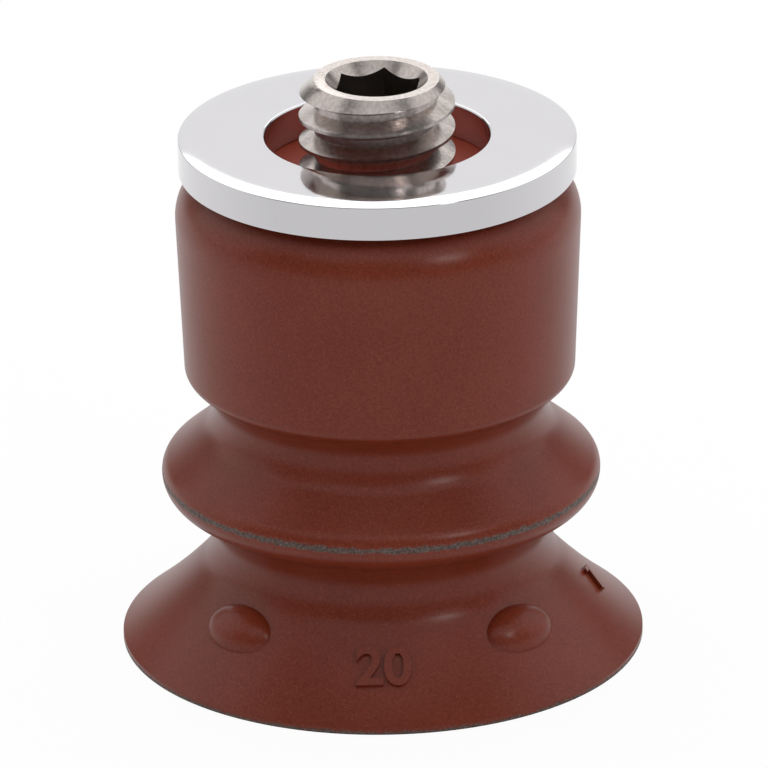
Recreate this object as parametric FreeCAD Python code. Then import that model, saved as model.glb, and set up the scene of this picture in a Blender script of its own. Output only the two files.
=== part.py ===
import FreeCAD, Part
import math
import os

# Bellows suction cup on a hollow threaded stud, in millimetres
# The origin is the middle of the sealing lip's plane, and Z runs up the axis to the stud.

# Sealing lip and skirt
lip_diameter = 19.84
lip_edge_height = 0.22
lip_land_width = 0.35
lip_width = 0.9
skirt_height = 3.97
skirt_top_diameter = 11.7
skirt_top_slope = 48.0
skirt_thickness = 1.05

# Bellows fold between its two round grooves, the neck above and the waist below
fold_diameter = 16.66
crest_above_skirt = 2.59
crest_round_above = 0.75
crest_round_below = 1.05
upper_flank_slope = 39.5
lower_flank_slope = 20.5
neck_round = 1.4
waist_round = 1.75
bellows_bore = 10.4
bellows_wall = 1.1
inner_round = 0.3

# Rubber sleeve round the metal core
sleeve_above_crest = 4.05
sleeve_height = 8.08
sleeve_bottom_diameter = 14.78
sleeve_top_diameter = 15.46
sleeve_underside_slope = 30.0
sleeve_bottom_round = 0.5
shoulder_round = 1.8

# Round nubs on the outside of the skirt
nub_count = 4
nub_first_angle = 45.0
nub_radial_place = 7.56
nub_base_diameter = 2.37
nub_height = 0.5

# Metal core bonded into the sleeve
core_cover = 1.0
core_floor_cover = 0.8
core_body_diameter = 10.0
core_flange_diameter = 12.2
core_flange_thickness = 1.4
core_groove_diameter = 8.6
core_groove_width = 1.6
core_groove_above_flange = 1.4
core_seat_thickness = 1.3
core_passage_diameter = 3.4
core_edge_break = 0.2

# Stop ring
ring_diameter = 15.0
ring_hole_diameter = 8.5
ring_thickness = 1.37
ring_edge_break = 0.1

# Hollow stud: M6 crest and pitch diameters
stud_crest_diameter = 5.88
stud_pitch_diameter = 5.35
stud_above_ring = 2.32
stud_top_chamfer = 0.58
stud_foot_chamfer = 0.4
socket_across_flats = 3.0
socket_depth = 2.6
socket_mouth_diameter = 3.87
socket_turn = 10.0
stud_bore_diameter = 2.4
thread_clearance = 0.02

# Partings of the rubber's zones: a level one under the sleeve, ball-shaped ones in the skirt
sleeve_parting_drop = 0.15
parting_gap = 0.06
skirt_parting_past_top = 1.25

AXIS = FreeCAD.Vector(0, 0, 1)
BASE = FreeCAD.Vector(0, 0, 0)
SHORTEST_EDGE = 1e-6

# Heights above the lip plane
skirt_top = lip_edge_height + skirt_height
crest_height = skirt_top + crest_above_skirt
sleeve_bottom = crest_height + sleeve_above_crest
sleeve_parting = sleeve_bottom - sleeve_parting_drop
sleeve_top = sleeve_bottom + sleeve_height
ring_top = sleeve_top + ring_thickness
stud_top = ring_top + stud_above_ring
core_bottom = sleeve_bottom + core_floor_cover
core_top = sleeve_top - core_cover
stud_foot = core_bottom + core_seat_thickness
tilt_centre = FreeCAD.Vector(0, 0, (skirt_top + sleeve_bottom) / 2)


def tangent_arc(start, heading, end):
    """Circular edge that leaves start along heading and arrives at end."""
    chord = end - start
    span = chord.Length
    middle = heading + chord / span
    half_turn = heading.getAngle(chord) / 2
    bow_point = start + middle / middle.Length * span / (2 * math.cos(half_turn))
    return Part.Arc(start, bow_point, end).toShape()


def outline(corners, chamfered=False):
    """Closed face through (radius, height, rounding) corners in the XZ plane.

    A fourth value in a corner is the slope below level, in degrees, at which
    a bowed side leaves it. Roundings too large for a side share its length,
    and become flats of the same reach on a chamfered outline.
    """
    count = len(corners)
    points = [FreeCAD.Vector(corner[0], 0, corner[1]) for corner in corners]
    sides = [points[(i + 1) % count] - points[i] for i in range(count)]
    backs, headings, wanted = [], [], []
    for i, corner in enumerate(corners):
        back = sides[i - 1] / -sides[i - 1].Length
        heading = sides[i] / sides[i].Length
        if len(corner) > 3:
            slope = math.radians(corner[3])
            heading = FreeCAD.Vector(math.cos(slope), 0, -math.sin(slope))
        backs.append(back)
        headings.append(heading)
        wanted.append(corner[2] / math.tan(back.getAngle(heading) / 2))
    shares = []
    for i in range(count):
        both = wanted[i] + wanted[(i + 1) % count]
        shares.append(min(1, sides[i].Length / both) if both else 1)
    arrive, leave, edges = [], [], []
    for i, here in enumerate(points):
        reach = wanted[i] * min(shares[i - 1], shares[i])
        arrive.append(here + backs[i] * reach)
        leave.append(here + headings[i] * reach)
        if reach == 0:
            continue
        half = backs[i].getAngle(headings[i]) / 2
        inward = (backs[i] + headings[i]).normalize()
        nearest = here + inward * reach * (1 / math.cos(half) - math.tan(half))
        if chamfered:
            edges.append(Part.LineSegment(arrive[i], leave[i]).toShape())
        else:
            edges.append(Part.Arc(arrive[i], nearest, leave[i]).toShape())
    for i, corner in enumerate(corners):
        target = arrive[(i + 1) % count]
        if len(corner) > 3:
            edges.append(tangent_arc(leave[i], headings[i], target))
        elif leave[i].distanceToPoint(target) > SHORTEST_EDGE:
            edges.append(Part.LineSegment(leave[i], target).toShape())
    return Part.Face(Part.Wire(Part.__sortEdges__(edges)))


def turned(corners, chamfered=False):
    """Solid of revolution about the axis."""
    return outline(corners, chamfered).revolve(BASE, AXIS, 360)


def disc(diameter, bottom, top):
    """Round plug on the axis."""
    return Part.makeCylinder(diameter / 2, top - bottom, FreeCAD.Vector(0, 0, bottom), AXIS)


def ball(radius):
    """Ball about the point that the lip tilts round."""
    return Part.makeSphere(radius, tilt_centre)


def height_at(radius, point, slope):
    """Height, at a radius, of the line through a point that falls outward at a slope."""
    return point[1] + (point[0] - radius) * math.tan(math.radians(slope))


def meeting(first, first_slope, second, second_slope):
    """Where two such lines meet."""
    spread = math.tan(math.radians(first_slope)) - math.tan(math.radians(second_slope))
    radius = (height_at(0, first, first_slope) - height_at(0, second, second_slope)) / spread
    return radius, height_at(radius, first, first_slope)


def crest_reach(slope, rounding):
    """How far above or below the crest a flank would come out at the fold's full radius."""
    return rounding / math.tan(math.radians(90 + slope) / 2)


def level_thickness(thickness, slope):
    """Height that a wall of a slope takes up."""
    return thickness / math.cos(math.radians(slope))


# Corners of the bellows: the flanks run from groove to crest, and inside one wall further in
lip_radius = lip_diameter / 2
fold_radius = fold_diameter / 2
bore_radius = bellows_bore / 2
sleeve_foot = (sleeve_bottom_diameter / 2, sleeve_bottom)
skirt_head = (skirt_top_diameter / 2, skirt_top)
lip_edge = (lip_radius, lip_edge_height)
upper_end = (fold_radius, crest_height + crest_reach(upper_flank_slope, crest_round_above))
lower_end = (fold_radius, crest_height - crest_reach(lower_flank_slope, crest_round_below))
neck = meeting(sleeve_foot, -sleeve_underside_slope, upper_end, upper_flank_slope)
waist = meeting(lower_end, -lower_flank_slope, skirt_head, skirt_top_slope)
upper_inside = (fold_radius, upper_end[1] - level_thickness(bellows_wall, upper_flank_slope))
lower_inside = (fold_radius, lower_end[1] + level_thickness(bellows_wall, lower_flank_slope))
crest_inside = meeting(upper_inside, upper_flank_slope, lower_inside, -lower_flank_slope)
skirt_fall = skirt_height / (lip_radius - skirt_head[0])
skirt_slope = math.degrees(math.atan(skirt_fall))
skirt_skin_at_bore = height_at(bore_radius, lip_edge, skirt_slope)
skirt_inside_top = skirt_skin_at_bore - level_thickness(skirt_thickness, skirt_slope)

# Outside of the rubber moulding, from the shoulder under the ring down to the lip
moulding = turned([
    (0, sleeve_top, 0),
    (sleeve_top_diameter / 2, sleeve_top, shoulder_round),
    (*sleeve_foot, sleeve_bottom_round),
    (*neck, neck_round),
    (*upper_end, crest_round_above),
    (*lower_end, crest_round_below),
    (*waist, waist_round, skirt_top_slope),
    (*lip_edge, 0),
    (lip_radius, 0, 0),
    (0, 0, 0),
])

# Nubs: low domes, each the cap of a ball sunk along the skirt's normal
nub_ball = (nub_base_diameter ** 2 / 4 + nub_height ** 2) / (2 * nub_height)
skin = Part.makeLine(
    FreeCAD.Vector(nub_radial_place, 0, 0), FreeCAD.Vector(nub_radial_place, 0, skirt_top)
)
nub_seat = moulding.common(skin).BoundBox.ZMax
skirt_normal = FreeCAD.Vector(skirt_fall, 0, 1).normalize()
nub_middle = FreeCAD.Vector(nub_radial_place, 0, nub_seat) - skirt_normal * (nub_ball - nub_height)
nubs = []
for i in range(nub_count):
    nub = Part.makeSphere(nub_ball, nub_middle, skirt_normal)
    nub.rotate(BASE, AXIS, nub_first_angle + i * 360 / nub_count)
    nubs.append(nub)
moulding = moulding.fuse(nubs)

# Air space inside the bellows, open at the lip
moulding = moulding.cut(turned([
    (0, 0, 0),
    (lip_radius - lip_land_width, 0, 0),
    (bore_radius, skirt_inside_top, inner_round),
    (bore_radius, height_at(bore_radius, lower_inside, -lower_flank_slope), inner_round),
    (*crest_inside, inner_round),
    (bore_radius, height_at(bore_radius, upper_inside, upper_flank_slope), inner_round),
    (bore_radius, core_bottom, 0),
    (0, core_bottom, 0),
]))

# Metal core: a flanged bush with a grip groove that keys it into the rubber
core_flange_top = core_bottom + core_flange_thickness
groove_bottom = core_flange_top + core_groove_above_flange
groove_top = groove_bottom + core_groove_width
core_envelope = turned([
    (0, core_bottom, 0),
    (core_flange_diameter / 2, core_bottom, core_edge_break),
    (core_flange_diameter / 2, core_flange_top, core_edge_break),
    (core_body_diameter / 2, core_flange_top, 0),
    (core_body_diameter / 2, groove_bottom, core_edge_break),
    (core_groove_diameter / 2, groove_bottom, 0),
    (core_groove_diameter / 2, groove_top, 0),
    (core_body_diameter / 2, groove_top, core_edge_break),
    (core_body_diameter / 2, core_top, core_edge_break),
    (0, core_top, 0),
], chamfered=True)
tapped_hole = disc(stud_pitch_diameter + 2 * thread_clearance, stud_foot, sleeve_top)
passage = disc(core_passage_diameter, core_bottom, stud_foot)
core_bush = core_envelope.cut(tapped_hole).cut(passage)

# Hollow stud: the buried thread is drawn at its pitch diameter, where both threads meet
stud_radius = stud_crest_diameter / 2
mesh_radius = stud_pitch_diameter / 2
hollow_stud = turned([
    (0, stud_foot, 0),
    (mesh_radius - stud_foot_chamfer, stud_foot, 0),
    (mesh_radius, stud_foot + stud_foot_chamfer, 0),
    (mesh_radius, sleeve_top, 0),
    (stud_radius, sleeve_top, 0),
    (stud_radius, stud_top - stud_top_chamfer, 0),
    (stud_radius - stud_top_chamfer, stud_top, 0),
    (0, stud_top, 0),
])
hollow_stud = hollow_stud.cut(disc(stud_bore_diameter, stud_foot, stud_top))
socket_corner = socket_across_flats / math.sqrt(3)
hexagon = []
for i in range(7):
    turn = math.radians(90 - socket_turn + 60 * i)
    hexagon.append(FreeCAD.Vector(
        socket_corner * math.cos(turn), socket_corner * math.sin(turn), stud_top - socket_depth
    ))
socket = Part.Face(Part.makePolygon(hexagon)).extrude(AXIS * socket_depth)
mouth_radius = socket_mouth_diameter / 2
countersink_tip = FreeCAD.Vector(0, 0, stud_top - mouth_radius)
countersink = Part.makeCone(0, mouth_radius, mouth_radius, countersink_tip, AXIS)
hollow_stud = hollow_stud.cut(socket).cut(countersink)

# Stop ring, lying flat on the sleeve
ring_outer = ring_diameter / 2
ring_inner = ring_hole_diameter / 2
flange_ring = turned([
    (ring_inner, sleeve_top, ring_edge_break),
    (ring_outer, sleeve_top, ring_edge_break),
    (ring_outer, ring_top, ring_edge_break),
    (ring_inner, ring_top, ring_edge_break),
], chamfered=True)

# Zones of the rubber moulding: level cuts at the sleeve and the crest, ball cuts in the skirt
cutter_diameter = 2 * lip_diameter
skirt_parting = math.hypot(skirt_head[0], tilt_centre.z - skirt_top) + skirt_parting_past_top
lip_parting = math.hypot(lip_radius, tilt_centre.z - lip_edge_height) - lip_width
below_waist = disc(cutter_diameter, 0, skirt_top)
skirt_space = below_waist.cut(ball(skirt_parting))
lip_space = below_waist.cut(ball(lip_parting))
loose_skirt = below_waist.cut(ball(skirt_parting + parting_gap))
loose_lip = below_waist.cut(ball(lip_parting + parting_gap))

sleeve_space = disc(cutter_diameter, sleeve_parting, sleeve_top)
rubber_sleeve = moulding.common(sleeve_space).cut(core_envelope).cut(tapped_hole)
upper_fold = moulding.common(disc(cutter_diameter, crest_height, sleeve_parting))
lower_fold = moulding.common(disc(cutter_diameter, 0, crest_height)).cut(skirt_space)
skirt_wall = moulding.common(loose_skirt).cut(lip_space)
sealing_lip = moulding.common(loose_lip)

nodes = {
    "hollow_stud": hollow_stud,
    "flange_ring": flange_ring,
    "core_bush": core_bush,
    "rubber_sleeve": rubber_sleeve,
    "upper_fold": upper_fold,
    "lower_fold": lower_fold,
    "skirt_wall": skirt_wall,
    "sealing_lip": sealing_lip,
}
os.makedirs("parts", exist_ok=True)
for name, shape in nodes.items():
    shape.exportStep("parts/" + name + ".step")
    print(name, len(shape.Solids), "solid", round(shape.Volume, 2), "mm3", shape.isValid())
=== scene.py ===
import math

import bpy
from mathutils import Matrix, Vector


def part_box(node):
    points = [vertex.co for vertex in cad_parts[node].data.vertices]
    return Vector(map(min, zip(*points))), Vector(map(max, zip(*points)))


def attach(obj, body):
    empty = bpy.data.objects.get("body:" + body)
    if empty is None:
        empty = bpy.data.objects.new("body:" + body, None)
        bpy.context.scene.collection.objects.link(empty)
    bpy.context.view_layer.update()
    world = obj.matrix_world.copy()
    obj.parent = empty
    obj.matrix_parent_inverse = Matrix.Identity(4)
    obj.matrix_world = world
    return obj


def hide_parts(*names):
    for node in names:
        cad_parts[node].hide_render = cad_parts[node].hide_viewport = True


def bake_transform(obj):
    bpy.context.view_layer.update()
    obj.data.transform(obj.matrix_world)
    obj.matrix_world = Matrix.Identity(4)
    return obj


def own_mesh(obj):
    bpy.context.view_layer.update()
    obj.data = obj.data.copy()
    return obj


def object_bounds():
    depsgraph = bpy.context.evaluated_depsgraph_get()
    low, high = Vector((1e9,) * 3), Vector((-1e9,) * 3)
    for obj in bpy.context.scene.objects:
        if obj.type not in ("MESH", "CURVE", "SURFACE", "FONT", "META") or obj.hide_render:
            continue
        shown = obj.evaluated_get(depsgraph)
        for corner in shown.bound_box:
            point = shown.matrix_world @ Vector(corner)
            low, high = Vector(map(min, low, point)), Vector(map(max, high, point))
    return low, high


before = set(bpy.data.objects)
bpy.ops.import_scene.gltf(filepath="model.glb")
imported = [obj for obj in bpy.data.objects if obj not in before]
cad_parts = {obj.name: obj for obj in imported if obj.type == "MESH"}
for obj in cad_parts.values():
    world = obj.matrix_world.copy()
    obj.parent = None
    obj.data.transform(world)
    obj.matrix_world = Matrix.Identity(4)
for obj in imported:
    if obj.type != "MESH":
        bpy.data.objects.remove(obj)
cad_low, cad_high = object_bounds()

# Core bush
# A turned brass bush with a wide flange, bonded into the rubber while the cup is moulded.
# It is tapped for the stud, and only its lower face shows, from below through the bellows.
MM = 0.001


def linear(hex_colour):
    """Linear colour, with alpha, of an sRGB hex value."""
    channels = [int(hex_colour[i:i + 2], 16) / 255 for i in (1, 3, 5)]
    return [c / 12.92 if c < 0.04045 else ((c + 0.055) / 1.055) ** 2.4 for c in channels] + [1]


def add_node(tree, kind, inputs, **settings):
    """A node with its settings, and its inputs as values or as sockets to link from."""
    node = tree.nodes.new(kind)
    for name, value in settings.items():
        setattr(node, name, value)
    for socket, value in inputs.items():
        if isinstance(value, bpy.types.NodeSocket):
            tree.links.new(value, node.inputs[socket])
        else:
            node.inputs[socket].default_value = value
    return node


def new_material(name):
    """A new material, its node tree and its shader."""
    material = bpy.data.materials.new(name)
    material.use_nodes = True
    return material, material.node_tree, material.node_tree.nodes["Principled BSDF"]


# Turned brass: a warm metal with an uneven tarnish, and tool rings drawn coarser than the real
# ones, so that they show.
turned_brass, tree, shader = new_material("turned_brass")
bright_brass = "#c9a255"
tarnished_brass = "#a98242"
tarnish_size = 1.5 * MM
tool_ring = 0.63 * MM
tool_ring_depth = 0.01 * MM
# Blender's wave texture repeats after this many units at a scale of 1.
wave_length = math.pi / 10
place = add_node(tree, "ShaderNodeTexCoord", {})
rings = add_node(
    tree, "ShaderNodeTexWave",
    {"Vector": place.outputs["Object"], "Scale": wave_length / tool_ring, "Distortion": 0.4},
    wave_type="RINGS", rings_direction="Z",
)
tarnish = add_node(
    tree, "ShaderNodeTexNoise",
    {"Vector": place.outputs["Object"], "Scale": 1 / tarnish_size, "Detail": 4},
)
tint = add_node(
    tree, "ShaderNodeMix",
    {"Factor": tarnish.outputs["Fac"], "A": linear(bright_brass), "B": linear(tarnished_brass)},
    data_type="RGBA",
)
tool_marks = add_node(
    tree, "ShaderNodeBump",
    {"Height": rings.outputs["Fac"], "Strength": 0.15, "Distance": tool_ring_depth},
)
tree.links.new(tint.outputs[2], shader.inputs["Base Color"])
tree.links.new(tool_marks.outputs["Normal"], shader.inputs["Normal"])
shader.inputs["Metallic"].default_value = 1
shader.inputs["Roughness"].default_value = 0.3
core_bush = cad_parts["core_bush"]
core_bush.data.materials.clear()
core_bush.data.materials.append(turned_brass)

# Rubber sleeve
# The thick upper body of the cup, one moulding of red-brown nitrile rubber with the bellows
# below it. It grips the core all round, and its flat top carries the stop ring.
sleeve_low, sleeve_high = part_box("rubber_sleeve")
core_low, core_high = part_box("core_bush")
stud_hole_radius = 2.695 * MM
sleeve_top_radius = 7.73 * MM
sleeve_bottom_radius = 7.39 * MM
sleeve_bottom = 10.83 * MM
sleeve_bottom_round = 0.5 * MM
underside_slope = 30
shoulder_round = 1.8 * MM
bellows_bore = 5.2 * MM
core_body_radius = 5.0 * MM
core_flange_height = 1.4 * MM
core_flange_top = core_low.z + core_flange_height
round_steps = 256
side_step = 0.3 * MM
arc_step = math.radians(6)
merge_reach = 0.001 * MM
smooth_angle = math.radians(35)


def corner_arc(before, here, after, rounding, heading=None):
    """Where a rounding meets its two sides, its centre, and its turn (anticlockwise positive)."""
    back = (before - here).normalized()
    ahead = heading or (after - here).normalized()
    half = back.angle(ahead) / 2
    reach = rounding / math.tan(half)
    centre = here + (back + ahead).normalized() * rounding / math.sin(half)
    turn = math.copysign(math.pi - 2 * half, back.cross(ahead).y)
    return here + back * reach, here + ahead * reach, centre, turn


def first_point(name, place):
    """A new object of one vertex, left selected in edit mode to draw an outline from."""
    bpy.ops.object.select_all(action="DESELECT")
    bpy.ops.mesh.primitive_plane_add(size=MM)
    piece = bpy.context.object
    piece.name = name
    bpy.ops.object.mode_set(mode="EDIT")
    bpy.ops.mesh.merge(type="CENTER")
    bpy.ops.transform.translate(value=place)
    return piece


def draw_side(start, end):
    """Extrude the selected vertex along a straight side, in short equal steps."""
    side = end - start
    if side.length < merge_reach:
        return
    steps = math.ceil(side.length / side_step)
    for _ in range(steps):
        bpy.ops.mesh.extrude_region_move(TRANSFORM_OT_translate={"value": side / steps})


def draw_arc(centre, turn, radius):
    """Spin the selected vertex round a centre in the section's plane."""
    steps = max(math.ceil(abs(turn) / arc_step), math.ceil(abs(turn) * radius / side_step))
    bpy.ops.mesh.spin(steps=steps, angle=turn, center=centre, axis=(0, 1, 0))


def close_up():
    """Merge the doubles of the mesh in edit mode and point its faces outwards."""
    bpy.ops.mesh.select_all(action="SELECT")
    bpy.ops.mesh.remove_doubles(threshold=merge_reach)
    bpy.ops.mesh.normals_make_consistent(inside=False)


def turned_piece(name, corners):
    """Half-section drawn by hand and spun about the cup's axis.

    Corners are (radius, height, rounding). A fourth value is the slope below
    level, in degrees, at which a bowed side leaves that corner.
    """
    points = [Vector((corner[0], 0, corner[1])) for corner in corners]
    stops = []
    for i, (_, _, rounding, *bow) in enumerate(corners):
        heading = None
        if bow:
            slope = math.radians(bow[0])
            heading = Vector((math.cos(slope), 0, -math.sin(slope)))
        if rounding:
            after = points[(i + 1) % len(points)]
            stops.append(corner_arc(points[i - 1], points[i], after, rounding, heading) + (heading,))
        else:
            stops.append((points[i], points[i], None, 0, heading))
    piece = first_point(name, stops[0][1])
    for i in range(len(stops)):
        start, heading = stops[i][1], stops[i][4]
        arrive, _, centre, turn, _ = stops[(i + 1) % len(stops)]
        if heading:
            chord = arrive - start
            half = heading.angle(chord)
            side = math.copysign(1, chord.cross(heading).y)
            across = Vector((-heading.z, 0, heading.x)) * side
            radius = chord.length / (2 * math.sin(half))
            draw_arc(start + across * radius, 2 * half * side, radius)
        else:
            draw_side(start, arrive)
        if turn:
            draw_arc(centre, turn, (arrive - centre).length)
    bpy.ops.mesh.select_all(action="SELECT")
    bpy.ops.mesh.remove_doubles(threshold=merge_reach)
    bpy.ops.mesh.spin(steps=round_steps, angle=2 * math.pi, center=(0, 0, 0), axis=(0, 0, 1))
    close_up()
    bpy.ops.object.mode_set(mode="OBJECT")
    bpy.ops.object.shade_smooth_by_angle(angle=smooth_angle)
    return piece


sleeve_foot = Vector((sleeve_bottom_radius, 0, sleeve_bottom))
drop = sleeve_bottom - sleeve_low.z
neck_edge = sleeve_foot - Vector((drop / math.tan(math.radians(underside_slope)), 0, drop))
rubber_sleeve = turned_piece("sleeve", [
    (stud_hole_radius, sleeve_high.z, 0),
    (sleeve_top_radius, sleeve_high.z, shoulder_round),
    (sleeve_bottom_radius, sleeve_bottom, sleeve_bottom_round),
    (neck_edge.x, neck_edge.z, 0),
    (bellows_bore, neck_edge.z, 0),
    (bellows_bore, core_low.z, 0),
    (core_high.x, core_low.z, 0),
    (core_high.x, core_flange_top, 0),
    (core_body_radius, core_flange_top, 0),
    (core_body_radius, core_high.z, 0),
    (stud_hole_radius, core_high.z, 0),
])

# Compression-moulded nitrile rubber, coloured with iron oxide: a satin skin with pale dust-fine
# specks, and a dull grey fringe where flash was torn off at the mould's parting line. The flat top
# under the ring is dull, and painted a brighter red: painted light for the light that reaches
# into the hole round the stud.
moulded_rubber, tree, shader = new_material("moulded_nitrile_rubber")
dark_rubber = "#652312"
light_rubber = "#7b3421"
painted_light_red = "#ac4530"
pale_speck = "#9a6c60"
dark_flash = "#42322c"
light_flash = "#71625c"
cloud_size = 4.0 * MM
cloud_share = 0.4
skin_grain = 0.09 * MM
skin_grain_depth = 0.01 * MM
speck_spacing = 0.13 * MM
torn_grain = 0.3 * MM
torn_share = 0.9
# From here up the top face is painted a brighter red: painted light in the hole round the stud.
painted_light_from = sleeve_high.z - 0.1 * MM
painted_light_full = sleeve_high.z - 0.02 * MM
flash_roughness = 0.5
top_face_roughness = 0.6
place = add_node(tree, "ShaderNodeTexCoord", {})
cloud = add_node(
    tree, "ShaderNodeTexNoise",
    {"Vector": place.outputs["Object"], "Scale": 1 / cloud_size, "Detail": 3},
)
grain = add_node(
    tree, "ShaderNodeTexNoise",
    {"Vector": place.outputs["Object"], "Scale": 1 / skin_grain, "Detail": 2},
)
mottle = add_node(
    tree, "ShaderNodeMath",
    {0: cloud.outputs["Fac"], 1: cloud_share, 2: grain.outputs["Fac"]}, operation="MULTIPLY_ADD",
)
mottle_share = add_node(
    tree, "ShaderNodeMapRange", {"Value": mottle.outputs["Value"], "From Min": 0.45, "From Max": 0.95},
)
body_colour = add_node(
    tree, "ShaderNodeMix",
    {"Factor": mottle_share.outputs["Result"], "A": linear(dark_rubber), "B": linear(light_rubber)},
    data_type="RGBA",
)
height = add_node(tree, "ShaderNodeSeparateXYZ", {"Vector": place.outputs["Object"]})
# Mask of the top face, which gets the painted light and a duller finish.
painted_light_top = add_node(
    tree, "ShaderNodeMapRange",
    {"Value": height.outputs["Z"], "From Min": painted_light_from, "From Max": painted_light_full},
)
painted_light_colour = add_node(
    tree, "ShaderNodeMix",
    {"Factor": painted_light_top.outputs["Result"], "A": body_colour.outputs[2], "B": linear(painted_light_red)},
    data_type="RGBA",
)
specks = add_node(
    tree, "ShaderNodeTexVoronoi",
    {"Vector": place.outputs["Object"], "Scale": 1 / speck_spacing},
)
speck_spot = add_node(
    tree, "ShaderNodeMapRange",
    {"Value": specks.outputs["Distance"], "From Min": 0.08, "From Max": 0.2, "To Min": 1, "To Max": 0},
)
speck_chance = add_node(tree, "ShaderNodeSeparateColor", {"Color": specks.outputs["Color"]})
speck_strength = add_node(
    tree, "ShaderNodeMapRange",
    {"Value": speck_chance.outputs["Red"], "From Min": 0.3, "From Max": 1, "To Min": 0, "To Max": 0.5},
)
speck_mask = add_node(
    tree, "ShaderNodeMath",
    {0: speck_spot.outputs["Result"], 1: speck_strength.outputs["Result"]},
    operation="MULTIPLY",
)
speckled = add_node(
    tree, "ShaderNodeMix",
    {"Factor": speck_mask.outputs["Value"], "A": painted_light_colour.outputs[2], "B": linear(pale_speck)},
    data_type="RGBA",
)
trim = add_node(tree, "ShaderNodeAttribute", {}, attribute_name="trim")
torn = add_node(
    tree, "ShaderNodeTexNoise",
    {"Vector": place.outputs["Object"], "Scale": 1 / torn_grain, "Detail": 4, "Roughness": 0.65},
)
ragged = add_node(
    tree, "ShaderNodeMath",
    {0: torn.outputs["Fac"], 1: torn_share, 2: trim.outputs["Fac"]}, operation="MULTIPLY_ADD",
)
trim_mask = add_node(
    tree, "ShaderNodeMapRange",
    {"Value": ragged.outputs["Value"], "From Min": 1.1, "From Max": 1.26},
)
torn_tone = add_node(
    tree, "ShaderNodeMapRange", {"Value": grain.outputs["Fac"], "From Min": 0.35, "From Max": 0.75},
)
torn_colour = add_node(
    tree, "ShaderNodeMix",
    {"Factor": torn_tone.outputs["Result"], "A": linear(dark_flash), "B": linear(light_flash)},
    data_type="RGBA",
)
skin_colour = add_node(
    tree, "ShaderNodeMix",
    {"Factor": trim_mask.outputs["Result"], "A": speckled.outputs[2], "B": torn_colour.outputs[2]},
    data_type="RGBA",
)
skin_gloss = add_node(
    tree, "ShaderNodeMapRange",
    {"Value": grain.outputs["Fac"], "To Min": 0.26, "To Max": 0.36},
)
trimmed_gloss = add_node(
    tree, "ShaderNodeMix",
    {"Factor": trim_mask.outputs["Result"], "A": skin_gloss.outputs["Result"], "B": flash_roughness},
)
gloss = add_node(
    tree, "ShaderNodeMix",
    {"Factor": painted_light_top.outputs["Result"], "A": trimmed_gloss.outputs[0], "B": top_face_roughness},
)
skin = add_node(
    tree, "ShaderNodeBump",
    {"Height": grain.outputs["Fac"], "Strength": 0.02, "Distance": skin_grain_depth},
)
tree.links.new(skin_colour.outputs[2], shader.inputs["Base Color"])
tree.links.new(gloss.outputs[0], shader.inputs["Roughness"])
tree.links.new(skin.outputs["Normal"], shader.inputs["Normal"])
shader.inputs["IOR"].default_value = 1.36
rubber_sleeve.data.materials.append(moulded_rubber)
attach(rubber_sleeve, "pad_body")
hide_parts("rubber_sleeve")

# Bellows fold
# The single fold below the sleeve: a round neck, two flanks and a rounded crest, where the mould
# parts and a torn line of flash runs round. The fold flattens as the cup is pressed down.
fold_low, fold_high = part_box("upper_fold")
lip_low, lip_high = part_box("sealing_lip")
crest_radius = fold_high.x
crest_height = fold_low.z
crest_round_above = 0.75 * MM
crest_round_below = 1.05 * MM
crest_trim_reach = 0.4 * MM
upper_slope = 39.5
lower_slope = 20.5
neck_round = 1.4 * MM
waist_round = 1.75 * MM
wall = 1.1 * MM
inner_round = 0.3 * MM
skirt_top = Vector((5.85 * MM, 0, 4.19 * MM))
skirt_top_slope = 48
skirt_thickness = 1.05 * MM
lip_edge_height = 0.22 * MM
lip_land_width = 0.35 * MM
cut_tolerance = 0.0001 * MM


def meet(first, first_slope, second, second_slope):
    """Point where two lines of a section meet, each given by a point and a slope below level."""
    fall = math.tan(math.radians(first_slope))
    other_fall = math.tan(math.radians(second_slope))
    rise = first.z + fall * first.x - second.z - other_fall * second.x
    radius = rise / (fall - other_fall)
    return Vector((radius, 0, first.z - fall * (radius - first.x)))


def crest_end(slope, rounding):
    """How far from the crest's middle a flank would reach the crest's radius."""
    return rounding / math.tan(math.radians(90 + slope) / 2)


upper_end = Vector((crest_radius, 0, crest_height + crest_end(upper_slope, crest_round_above)))
lower_end = Vector((crest_radius, 0, crest_height - crest_end(lower_slope, crest_round_below)))
upper_inside = upper_end - Vector((0, 0, wall / math.cos(math.radians(upper_slope))))
lower_inside = lower_end + Vector((0, 0, wall / math.cos(math.radians(lower_slope))))
neck = meet(sleeve_foot, -underside_slope, upper_end, upper_slope)
waist = meet(lower_end, -lower_slope, skirt_top, skirt_top_slope)
crest_inside = meet(upper_inside, upper_slope, lower_inside, -lower_slope)
neck_foot = upper_inside.z + math.tan(math.radians(upper_slope)) * (crest_radius - bellows_bore)
waist_head = lower_inside.z - math.tan(math.radians(lower_slope)) * (crest_radius - bellows_bore)
skirt_slope = math.atan((skirt_top.z - lip_edge_height) / (lip_high.x - skirt_top.x))
skirt_skin_at_bore = lip_edge_height + (lip_high.x - bellows_bore) * math.tan(skirt_slope)
skirt_inside = skirt_skin_at_bore - skirt_thickness / math.cos(skirt_slope)
bellows = turned_piece("bellows", [
    (bellows_bore, neck_edge.z, 0),
    (neck_edge.x, neck_edge.z, 0),
    (neck.x, neck.z, neck_round),
    (upper_end.x, upper_end.z, crest_round_above),
    (lower_end.x, lower_end.z, crest_round_below),
    (waist.x, waist.z, waist_round, skirt_top_slope),
    (lip_high.x, lip_edge_height, 0),
    (lip_high.x, lip_low.z, 0),
    (lip_high.x - lip_land_width, lip_low.z, 0),
    (bellows_bore, skirt_inside, inner_round),
    (bellows_bore, waist_head, inner_round),
    (crest_inside.x, crest_inside.z, inner_round),
    (bellows_bore, neck_foot, inner_round),
])


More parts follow.
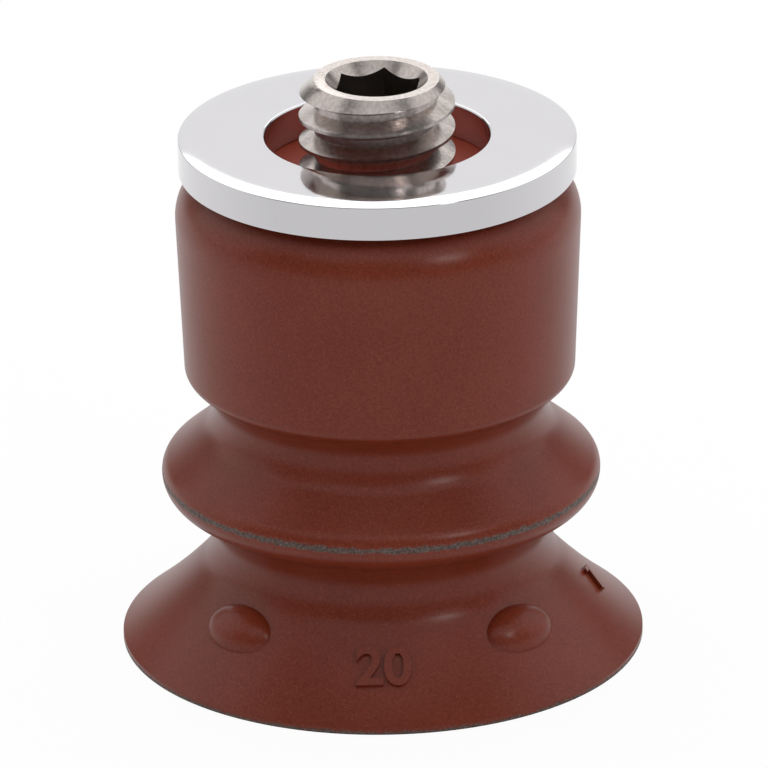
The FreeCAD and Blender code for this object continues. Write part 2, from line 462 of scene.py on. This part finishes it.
def cut_off(place, normal, keep_beyond):
    """Cut the mesh in edit mode along a plane, drop one side of it and close the cut."""
    bpy.ops.mesh.select_all(action="SELECT")
    bpy.ops.mesh.bisect(
        plane_co=place, plane_no=normal, use_fill=True,
        clear_inner=keep_beyond, clear_outer=not keep_beyond, threshold=cut_tolerance,
    )


def cut_level(name, source, height, keep_above):
    """A copy of a piece with all below, or above, a level cut away and the cut closed."""
    bpy.ops.object.select_all(action="DESELECT")
    source.select_set(True)
    bpy.context.view_layer.objects.active = source
    bpy.ops.object.duplicate()
    piece = bpy.context.object
    piece.name = name
    bpy.ops.object.mode_set(mode="EDIT")
    cut_off((0, 0, height), (0, 0, 1), keep_above)
    bpy.ops.object.mode_set(mode="OBJECT")
    bpy.ops.object.shade_smooth_by_angle(angle=smooth_angle)
    return piece


def mark_trim(piece, height, reach, outside):
    """Attribute that is 1 on a torn line at a height and fades to 0 a reach away, outside a radius."""
    trim_line = piece.data.attributes.new("trim", "FLOAT", "POINT")
    for vertex in piece.data.vertices:
        if vertex.co.xy.length > outside:
            trim_line.data[vertex.index].value = max(0, 1 - abs(vertex.co.z - height) / reach)


# The fold ends in the waist's groove, where the rubber bends as the skirt tilts.
waist_seam = waist.z
bellows_fold = cut_level("bellows_fold", bellows, waist_seam, keep_above=True)
mark_trim(bellows_fold, crest_height, crest_trim_reach, crest_radius - crest_round_above)
bellows_fold.data.materials.append(moulded_rubber)
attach(bellows_fold, "pad_body")
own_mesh(bellows_fold)
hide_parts("upper_fold")

# Skirt and sealing lip
# The flared skirt below the waist, thinning to a trimmed lip that seals on the workpiece. Four oval
# nubs stand on its outside, with its size and mould number raised beside them. It tilts at the waist.
skirt_seam = 3.3 * MM
lip_trim_reach = 0.4 * MM
lip_trim_width = 0.3 * MM
nub_count = 4
nub_place = 7.56 * MM
nub_size = Vector((1.6, 1.04, 0.8)) * MM
nub_sink = 0.28 * MM
nub_turn = math.radians(-1.6)
nub_tip = math.radians(12)
raised_root = 0.25 * MM
figure_relief = 0.15 * MM
figure_weight = 0.05 * MM
figure_share_of_type = 0.7
size_number_place = 8.03 * MM
size_number_height = 1.5 * MM
mould_number_place = 8.02 * MM
mould_number_azimuth = math.radians(92.2)
mould_number_lean = math.radians(46)
mould_number_height = 1.25 * MM
mould_number_bar = 0.2 * MM
mould_number_flag = 0.42 * MM
flag_slope = 0.75


def cut_with(piece, tool, operation):
    """Boolean of a piece with a tool body, which is used up."""
    cut = piece.modifiers.new("cut", "BOOLEAN")
    cut.operation = operation
    cut.solver = "EXACT"
    cut.object = tool
    bpy.ops.object.select_all(action="DESELECT")
    bpy.context.view_layer.objects.active = piece
    piece.select_set(True)
    bpy.ops.object.modifier_apply(modifier="cut")
    bpy.data.objects.remove(tool)


skirt = cut_level("skirt", bellows, waist_seam, keep_above=False)
bpy.data.objects.remove(bellows)
skirt_collar = cut_level("skirt_collar", skirt, skirt_seam, keep_above=True)
sealing_skirt = cut_level("sealing_skirt", skirt, skirt_seam, keep_above=False)
bpy.data.objects.remove(skirt)


def skirt_skin(radius, azimuth):
    """Place, normal and turn of a spot on the skirt's outside, from the front round to the right."""
    out = Vector((math.sin(azimuth), -math.cos(azimuth), 0))
    bpy.context.view_layer.update()
    above = out * radius + Vector((0, 0, skirt_seam))
    _, place, normal, _ = sealing_skirt.ray_cast(above, Vector((0, 0, -1)))
    return place, normal, (math.acos(normal.z), 0, azimuth)


for i in range(nub_count):
    place, normal, turn = skirt_skin(nub_place, nub_turn + 2 * math.pi * (i + 0.5) / nub_count)
    bpy.ops.object.select_all(action="DESELECT")
    bpy.ops.mesh.primitive_uv_sphere_add(
        segments=64, ring_count=32, radius=1, location=place - normal * nub_sink,
        rotation=(turn[0] + nub_tip, turn[1], turn[2]), scale=nub_size,
    )
    nub = bpy.context.object
    bpy.ops.object.transform_apply(location=True, rotation=True, scale=True)
    bpy.ops.object.mode_set(mode="EDIT")
    cut_off(place - normal * raised_root, normal, keep_beyond=True)
    bpy.ops.object.mode_set(mode="OBJECT")
    cut_with(sealing_skirt, nub, "UNION")


def raise_figure(figure, radius, azimuth, lean):
    """Stand a closed-up figure on the skirt, read from outside. A lean to the right is positive."""
    bpy.ops.object.mode_set(mode="EDIT")
    close_up()
    bpy.ops.object.mode_set(mode="OBJECT")
    place, normal, turn = skirt_skin(radius, azimuth)
    figure.location = place + normal * (figure_relief - raised_root) / 2
    figure.rotation_euler = turn
    figure.rotation_euler.rotate_axis("Z", -lean)
    bpy.ops.object.transform_apply(location=True, rotation=True, scale=True)
    cut_with(sealing_skirt, figure, "UNION")


bpy.ops.object.select_all(action="DESELECT")
bpy.ops.object.text_add()
size_number = bpy.context.object
size_number.data.body = "20"
size_number.data.align_x = "CENTER"
size_number.data.align_y = "CENTER"
size_number.data.size = size_number_height / figure_share_of_type
size_number.data.offset = figure_weight
size_number.data.extrude = (figure_relief + raised_root) / 2
bpy.ops.object.convert(target="MESH")
raise_figure(size_number, size_number_place, azimuth=0, lean=0)

half_height = mould_number_height / 2
half_bar = mould_number_bar / 2
flag_end = half_height - flag_slope * mould_number_flag
mould_number_corners = [
    Vector((-half_bar, -half_height, 0)),
    Vector((half_bar, -half_height, 0)),
    Vector((half_bar, half_height, 0)),
    Vector((0, half_height, 0)),
    Vector((-mould_number_flag, flag_end, 0)),
    Vector((-mould_number_flag, flag_end - mould_number_bar, 0)),
    Vector((-half_bar, half_height - flag_slope * half_bar - mould_number_bar, 0)),
]
mould_number = first_point("mould_number", mould_number_corners[0])
for here, after in zip(mould_number_corners, mould_number_corners[1:]):
    bpy.ops.mesh.extrude_region_move(TRANSFORM_OT_translate={"value": after - here})
bpy.ops.mesh.select_all(action="SELECT")
bpy.ops.mesh.edge_face_add()
bpy.ops.object.mode_set(mode="OBJECT")
thickness = mould_number.modifiers.new("thickness", "SOLIDIFY")
thickness.thickness = figure_relief + raised_root
thickness.offset = 0
bpy.ops.object.modifier_apply(modifier="thickness")
raise_figure(mould_number, mould_number_place, mould_number_azimuth, mould_number_lean)
bpy.ops.object.shade_smooth_by_angle(angle=smooth_angle)
mark_trim(sealing_skirt, lip_low.z, lip_trim_reach, lip_high.x - lip_trim_width)
for piece in (skirt_collar, sealing_skirt):
    piece.data.materials.append(moulded_rubber)
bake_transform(skirt_collar)
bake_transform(sealing_skirt)
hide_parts("lower_fold")
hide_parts("skirt_wall", "sealing_lip")

# Stop ring
# A flat steel washer, ground and chromed to a mirror. It lies loose on the sleeve round the stud and
# stops the holder from crushing the rubber. Its top rolls down a little towards the rim.
ring_low, ring_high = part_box("flange_ring")
ring_hole_radius = 4.25 * MM
ring_edge_round = 0.08 * MM
ring_corner_round = 0.03 * MM
ring_roll_width = 0.75 * MM
ring_roll_drop = 0.06 * MM
ring_roll_slope = 9
stop_ring = turned_piece("stop_ring", [
    (ring_hole_radius, ring_low.z, ring_edge_round),
    (ring_high.x, ring_low.z, ring_edge_round),
    (ring_high.x, ring_high.z - ring_roll_drop, ring_corner_round, 180 + ring_roll_slope),
    (ring_high.x - ring_roll_width, ring_high.z, 0),
    (ring_hole_radius, ring_high.z, ring_edge_round),
])

# Chrome plate on ground steel: a mirror with a faint ripple and a trace of haze.
chrome_plate, tree, shader = new_material("mirror_chrome_plate")
chrome = "#d8d6d9"
haze_size = 2.0 * MM
ripple_size = 0.5 * MM
ripple_depth = 0.01 * MM
place = add_node(tree, "ShaderNodeTexCoord", {})
ripple = add_node(
    tree, "ShaderNodeTexNoise",
    {"Vector": place.outputs["Object"], "Scale": 1 / ripple_size, "Detail": 2},
)
haze = add_node(
    tree, "ShaderNodeTexNoise",
    {"Vector": place.outputs["Object"], "Scale": 1 / haze_size, "Detail": 3},
)
shine = add_node(
    tree, "ShaderNodeMapRange",
    {"Value": haze.outputs["Fac"], "To Min": 0.05, "To Max": 0.1},
)
plate = add_node(
    tree, "ShaderNodeBump",
    {"Height": ripple.outputs["Fac"], "Strength": 0.03, "Distance": ripple_depth},
)
tree.links.new(shine.outputs["Result"], shader.inputs["Roughness"])
tree.links.new(plate.outputs["Normal"], shader.inputs["Normal"])
shader.inputs["Base Color"].default_value = linear(chrome)
shader.inputs["Metallic"].default_value = 1
stop_ring.data.materials.append(chrome_plate)
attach(stop_ring, "pad_body")
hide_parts("flange_ring")

# Hollow stud
# A short M6 hexagon-socket screw of stainless steel with an air hole along its axis. It is screwed
# into the core with a 3 mm key, and its free end takes the holder and the vacuum.
_, stud_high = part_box("hollow_stud")
stud_below_box = 0.08 * MM
stud_top = stud_high.z - stud_below_box
threaded_length = 5.0 * MM
thread_bottom = stud_top - threaded_length
thread_radius = stud_high.x
thread_depth = 0.58 * MM
root_radius = thread_radius - thread_depth
pitch = 1.0 * MM
crest_flat = 0.125 * MM
root_flat = 0.25 * MM
flank_height = (pitch - crest_flat - root_flat) / 2
thread_start = 0.59 * MM
thread_turns = 8
thread_steps = 128
top_chamfer = 0.58 * MM
bore_radius = 1.2 * MM
socket_flats = 3.0 * MM
socket_radius = socket_flats / math.sqrt(3)
socket_depth = 2.6 * MM
socket_overrun = 2.0 * MM
socket_mouth_radius = 1.935 * MM
socket_turn = math.radians(10)
upright_limit = 0.1
thread_smooth_angle = math.radians(30)

hollow_stud = first_point("threaded_stud", (root_radius, 0, thread_bottom - pitch - thread_start))
tooth = [
    Vector((0, 0, root_flat)),
    Vector((thread_depth, 0, flank_height)),
    Vector((0, 0, crest_flat)),
    Vector((-thread_depth, 0, flank_height)),
]
for step in tooth:
    bpy.ops.mesh.extrude_region_move(TRANSFORM_OT_translate={"value": step})
bpy.ops.object.mode_set(mode="OBJECT")
thread = hollow_stud.modifiers.new("thread", "SCREW")
thread.axis = "Z"
thread.angle = 2 * math.pi
thread.screw_offset = pitch
thread.iterations = thread_turns
thread.steps = thread_steps
thread.render_steps = thread_steps
thread.use_merge_vertices = True
thread.merge_threshold = merge_reach
bpy.ops.object.modifier_apply(modifier="thread")
bpy.ops.object.mode_set(mode="EDIT")
close_up()
cut_off((0, 0, thread_bottom), (0, 0, 1), keep_beyond=True)
cut_off((0, 0, stud_top), (0, 0, 1), keep_beyond=False)
bpy.ops.mesh.select_all(action="SELECT")
bpy.ops.mesh.normals_make_consistent(inside=False)
bpy.ops.object.mode_set(mode="OBJECT")

blank = turned_piece("stud_blank", [
    (bore_radius, thread_bottom, 0),
    (thread_radius, thread_bottom, 0),
    (thread_radius, stud_top - top_chamfer, 0),
    (thread_radius - top_chamfer, stud_top, 0),
    (socket_mouth_radius, stud_top, 0),
    (bore_radius, stud_top - (socket_mouth_radius - bore_radius), 0),
])
bpy.ops.object.select_all(action="DESELECT")
bpy.ops.mesh.primitive_cylinder_add(
    vertices=6, radius=socket_radius, depth=socket_depth + socket_overrun,
    location=(0, 0, stud_top + (socket_overrun - socket_depth) / 2), rotation=(0, 0, -socket_turn),
)
key_socket = bpy.context.object
bpy.ops.object.transform_apply(location=True, rotation=True, scale=True)
cut_with(hollow_stud, blank, "INTERSECT")
cut_with(hollow_stud, key_socket, "DIFFERENCE")
bpy.ops.object.shade_smooth_by_angle(angle=thread_smooth_angle)
# Marks the socket's upright walls, which are painted darker: painted shade in the deep socket.
socket_walls = hollow_stud.data.attributes.new("painted_socket_shade", "FLOAT", "FACE")
for face in hollow_stud.data.polygons:
    inside = face.center.xy.length < socket_radius
    upright = abs(face.normal.z) < upright_limit
    socket_walls.data[face.index].value = 1 if inside and upright else 0

# Turned stainless steel: a soft, slightly warm and smeared shine, tool lines drawn coarser than the
# real ones so that they show, and the socket's walls painted darker: painted shade in the deep socket.
turned_steel, tree, shader = new_material("turned_stainless_steel")
dark_steel = "#bcb2ac"
light_steel = "#cec5c0"
socket_shade_steel = "#a29a94"
smear_size = 0.15 * MM
tool_line = 0.5 * MM
tool_line_depth = 0.01 * MM
place = add_node(tree, "ShaderNodeTexCoord", {})
lines = add_node(
    tree, "ShaderNodeTexWave",
    {"Vector": place.outputs["Object"], "Scale": wave_length / tool_line, "Distortion": 1.0},
    wave_type="BANDS", bands_direction="Z",
)
smear = add_node(
    tree, "ShaderNodeTexNoise",
    {"Vector": place.outputs["Object"], "Scale": 1 / smear_size, "Detail": 4},
)
shine = add_node(
    tree, "ShaderNodeMapRange",
    {"Value": smear.outputs["Fac"], "To Min": 0.19, "To Max": 0.3},
)
tool_marks = add_node(
    tree, "ShaderNodeBump",
    {"Height": lines.outputs["Fac"], "Strength": 0.2, "Distance": tool_line_depth},
)
smear_tone = add_node(
    tree, "ShaderNodeMapRange", {"Value": smear.outputs["Fac"], "From Min": 0.35, "From Max": 0.65},
)
turned_colour = add_node(
    tree, "ShaderNodeMix",
    {"Factor": smear_tone.outputs["Result"], "A": linear(dark_steel), "B": linear(light_steel)},
    data_type="RGBA",
)
# The socket's walls are painted darker steel: painted shade.
painted_socket_shade = add_node(tree, "ShaderNodeAttribute", {}, attribute_name="painted_socket_shade")
steel_colour = add_node(
    tree, "ShaderNodeMix",
    {"Factor": painted_socket_shade.outputs["Fac"], "A": turned_colour.outputs[2], "B": linear(socket_shade_steel)},
    data_type="RGBA",
)
tree.links.new(steel_colour.outputs[2], shader.inputs["Base Color"])
tree.links.new(shine.outputs["Result"], shader.inputs["Roughness"])
tree.links.new(tool_marks.outputs["Normal"], shader.inputs["Normal"])
shader.inputs["Metallic"].default_value = 1
hollow_stud.data.materials.append(turned_steel)
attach(hollow_stud, "pad_body")
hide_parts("hollow_stud")

# Floor
# A plain pale studio floor at the lip's level, painted matt. The camera and the metal see it nearly
# white, and it keeps the cup's soft shadow.
floor_colour = "#f2f2f2"
floor_width = 4
white_share = 0.94
bpy.ops.object.select_all(action="DESELECT")
bpy.ops.mesh.primitive_plane_add(size=floor_width, location=(0, 0, cad_low.z))
floor = bpy.context.object
floor.name = "floor"
studio_floor, tree, shader = new_material("pale_studio_floor")
rays = add_node(tree, "ShaderNodeLightPath", {})
mirrored = add_node(
    tree, "ShaderNodeMath",
    {0: rays.outputs["Is Glossy Ray"], 1: rays.outputs["Is Transmission Ray"]}, operation="ADD",
)
place = add_node(tree, "ShaderNodeTexCoord", {})
axes = add_node(tree, "ShaderNodeSeparateXYZ", {"Vector": place.outputs["Object"]})
mirrored_white = add_node(
    tree, "ShaderNodeMapRange",
    {"Value": axes.outputs["Y"], "From Min": -0.03, "From Max": 0.06, "To Min": 0.77, "To Max": 1.0},
)
part_white = add_node(
    tree, "ShaderNodeMath",
    {0: rays.outputs["Is Camera Ray"], 1: white_share, 2: mirrored.outputs["Value"]},
    operation="MULTIPLY_ADD",
)
white_level = add_node(
    tree, "ShaderNodeMix",
    {"Factor": mirrored.outputs["Value"], "A": 1.0, "B": mirrored_white.outputs["Result"]},
)
white = add_node(
    tree, "ShaderNodeEmission", {"Color": (1, 1, 1, 1), "Strength": white_level.outputs[0]}
)
surface = add_node(
    tree, "ShaderNodeMixShader",
    {0: part_white.outputs["Value"], 1: shader.outputs["BSDF"], 2: white.outputs["Emission"]},
)
tree.links.new(surface.outputs["Shader"], tree.nodes["Material Output"].inputs["Surface"])
shader.inputs["Base Color"].default_value = linear(floor_colour)
shader.inputs["Roughness"].default_value = 0.9
floor.data.materials.append(studio_floor)

# Studio light
# A white room gives most of the light. Large soft boxes hang overhead, behind and at both sides, and a
# small one at the front right makes the bright streaks on the fold and the stud.
darker_aside = -0.35
world = bpy.data.worlds.new("white_studio")
bpy.context.scene.world = world
world.use_nodes = True
tree = world.node_tree
rays = add_node(tree, "ShaderNodeLightPath", {})
seen = add_node(
    tree, "ShaderNodeMath",
    {0: rays.outputs["Is Camera Ray"], 1: rays.outputs["Is Transmission Ray"]}, operation="ADD",
)
place = add_node(tree, "ShaderNodeTexCoord", {})
axes = add_node(tree, "ShaderNodeSeparateXYZ", {"Vector": place.outputs["Generated"]})
aside = add_node(tree, "ShaderNodeMath", {0: axes.outputs["X"]}, operation="ABSOLUTE")
straight_behind = add_node(
    tree, "ShaderNodeMath",
    {0: aside.outputs["Value"], 1: darker_aside, 2: axes.outputs["Y"]}, operation="MULTIPLY_ADD",
)
mirrored_room = add_node(
    tree, "ShaderNodeMapRange",
    {
        "Value": straight_behind.outputs["Value"], "From Min": 0.55, "From Max": 0.91,
        "To Min": 0.15, "To Max": 1.0,
    },
    interpolation_type="SMOOTHSTEP",
)
lit_room = add_node(
    tree, "ShaderNodeMapRange",
    {"Value": axes.outputs["Y"], "From Min": -0.3, "From Max": 0.6, "To Min": 0.3, "To Max": 1.0},
    interpolation_type="SMOOTHSTEP",
)
room = add_node(
    tree, "ShaderNodeMix",
    {
        "Factor": rays.outputs["Is Glossy Ray"],
        "A": lit_room.outputs["Result"], "B": mirrored_room.outputs["Result"],
    },
)
level = add_node(
    tree, "ShaderNodeMix",
    {"Factor": seen.outputs["Value"], "A": room.outputs[0], "B": 1.0},
)
tree.links.new(level.outputs[0], tree.nodes["Background"].inputs["Strength"])
tree.nodes["Background"].inputs["Color"].default_value = (1, 1, 1, 1)
cup_middle = Vector((0, 0, 10 * MM))


def soft_box(name, width, height, distance, azimuth, elevation, watts):
    """A lamp that faces the cup. Azimuth goes from the camera's side round to its right."""
    turn, rise = math.radians(azimuth), math.radians(elevation)
    out = Vector((math.sin(turn) * math.cos(rise), -math.cos(turn) * math.cos(rise), math.sin(rise)))
    bpy.ops.object.light_add(type="AREA", location=cup_middle + out * distance)
    lamp = bpy.context.object
    lamp.name = name
    lamp.rotation_euler = out.to_track_quat("Z", "Y").to_euler()
    lamp.data.shape = "RECTANGLE"
    lamp.data.size = width
    lamp.data.size_y = height
    lamp.data.energy = watts


soft_box("overhead_soft_box", 1.4, 0.52, distance=0.9, azimuth=0, elevation=58, watts=1.7)
soft_box("left_soft_box", 0.7, 0.7, distance=0.7, azimuth=-105, elevation=30, watts=1.2)
soft_box("right_soft_box", 0.7, 0.7, distance=0.7, azimuth=105, elevation=30, watts=1.2)
soft_box("rear_soft_box", 0.8, 0.46, distance=0.8, azimuth=180, elevation=41, watts=1.5)
soft_box("front_right_soft_box", 0.1, 0.1, distance=0.6, azimuth=44, elevation=34, watts=0.35)

# Camera
# A long lens a little above the cup, with the photograph's slight roll and framing.
camera_distance = 435.5 * MM
camera_rise = math.radians(22.40)
camera_roll = math.radians(-0.70)
lens_length = 538.5
sensor_width = 36
image_width = 768
pixels_right = 3.8
pixels_up = 3.0
sight = Vector((0, -math.cos(camera_rise), math.sin(camera_rise)))
bpy.ops.object.camera_add(location=cup_middle + sight * camera_distance)
camera = bpy.context.object
camera.rotation_euler = (math.pi / 2 - camera_rise, 0, 0)
camera.rotation_euler.rotate_axis("Z", camera_roll)
camera.data.sensor_width = sensor_width
camera.data.lens = lens_length
camera.data.shift_x = pixels_right / image_width
camera.data.shift_y = pixels_up / image_width
bpy.context.scene.camera = camera
bpy.context.scene.view_settings.view_transform = "Standard"
